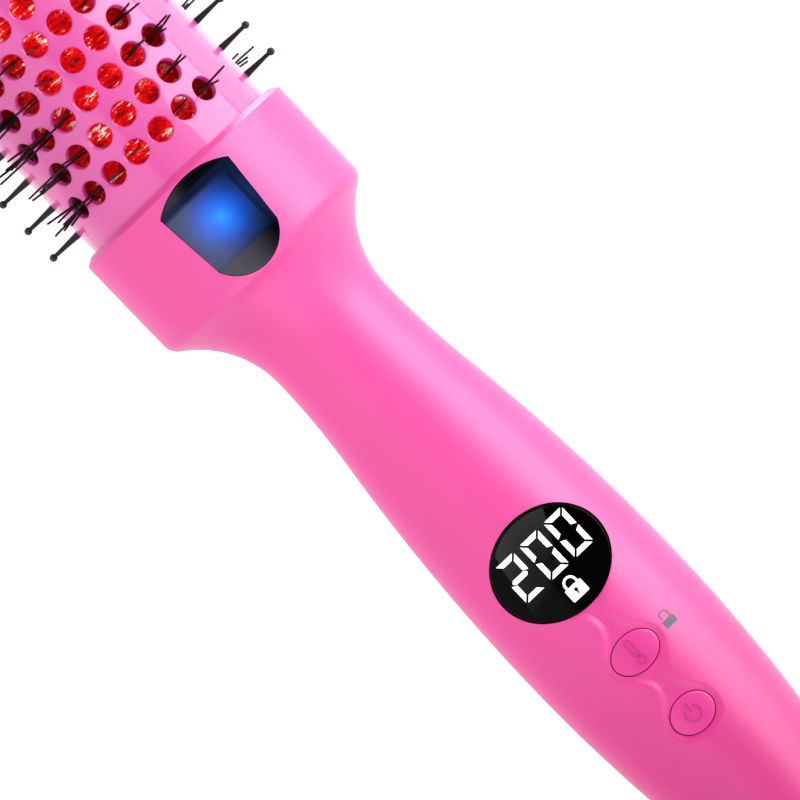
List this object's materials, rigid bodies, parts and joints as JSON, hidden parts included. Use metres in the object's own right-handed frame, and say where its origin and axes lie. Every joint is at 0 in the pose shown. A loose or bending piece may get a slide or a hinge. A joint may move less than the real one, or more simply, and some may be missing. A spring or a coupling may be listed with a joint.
{
  "type": "hair straightener brush",
  "caption": "Round heated hair brush: perforated bristle head with side pins on a waisted handle with display, push buttons, lit window and a turning cord inlet.",
  "frame": {"origin": "centre of the mouth of the cord inlet at the tail of the handle", "axes": "+X along the brush from the cord inlet to the tip, +Z out of the side with the display and buttons, +Y across"},
  "size_m": [0.2938, 0.0556, 0.0592],
  "materials": {
    "housing_pink": "soft-touch satin",
    "cover_pink": "polished",
    "button_pink": "satin",
    "window_smoke": "smoked, lit blue from behind",
    "display_black": "polished",
    "figures_white": "lit",
    "pin_black": "smooth",
    "bristle_black": "smooth",
    "barrel_red": "metallic",
    "core_aluminium": "extruded",
    "heater_ceramic": "wrapped in film",
    "spring_steel": "plain",
    "screw_steel": "zinc plated",
    "contact_brass": "plain",
    "board_green": "coated",
    "part_black": "moulded",
    "hub_black": "heat-resisting moulding",
    "lamp_blue": "lit",
    "chamber_white": "moulded",
    "gland_rubber": "moulded",
    "lead_white": "sleeved"
  },
  "bodies": {
    "handle": {"front_housing": "housing_pink", "rear_housing": "housing_pink", "ion_window": "window_smoke", "lamp_chamber": "chamber_white", "status_lamp": "lamp_blue", "lamp_board": "board_green", "ion_generator": "part_black", "display_lens": "display_black", "display_module": "figures_white", "temperature_switch": "part_black", "power_switch": "part_black", "main_board": "board_green", "power_parts": "part_black", "board_screws": "screw_steel", "housing_screws": "screw_steel", "contact_block": "hub_black", "cover_front": "cover_pink", "cover_rear": "cover_pink", "side_strip_right": "cover_pink", "side_strip_left": "cover_pink", "pin_comb_right": "pin_black", "pin_comb_left": "pin_black", "bristles_front": "bristle_black", "bristles_rear": "bristle_black", "heated_barrel": "barrel_red", "heater_core_front": "core_aluminium", "heater_core_rear": "core_aluminium", "ptc_heater": "heater_ceramic", "core_springs": "spring_steel", "temperature_sensor": "part_black", "thermal_fuse": "core_aluminium", "collar_hub": "hub_black", "tip_hub": "hub_black", "tip_cap": "housing_pink", "tip_screw": "screw_steel", "tip_plug": "button_pink", "heater_leads": "lead_white"},
    "temperature_button": {"temperature_button": "button_pink", "temperature_plunger": "chamber_white"},
    "power_button": {"power_button": "button_pink", "power_plunger": "chamber_white"},
    "cord_swivel": {"cord_gland": "gland_rubber", "contact_pin": "contact_brass"}
  },
  "joints": [
    {"name": "temperature_press", "type": "slide", "parent": "handle", "child": "temperature_button", "axis": [0, 0, -1], "range_m": [0, 0.0006], "stiffness_N_per_m": 1200, "springref_m": -0.0006},
    {"name": "power_press", "type": "slide", "parent": "handle", "child": "power_button", "axis": [0, 0, -1], "range_m": [0, 0.0006], "stiffness_N_per_m": 1200, "springref_m": -0.0006},
    {"name": "cord_swivel_turn", "type": "hinge", "parent": "handle", "child": "cord_swivel", "pos_m": [0.009, 0, 0], "axis": [1, 0, 0], "continuous": true}
  ]
}
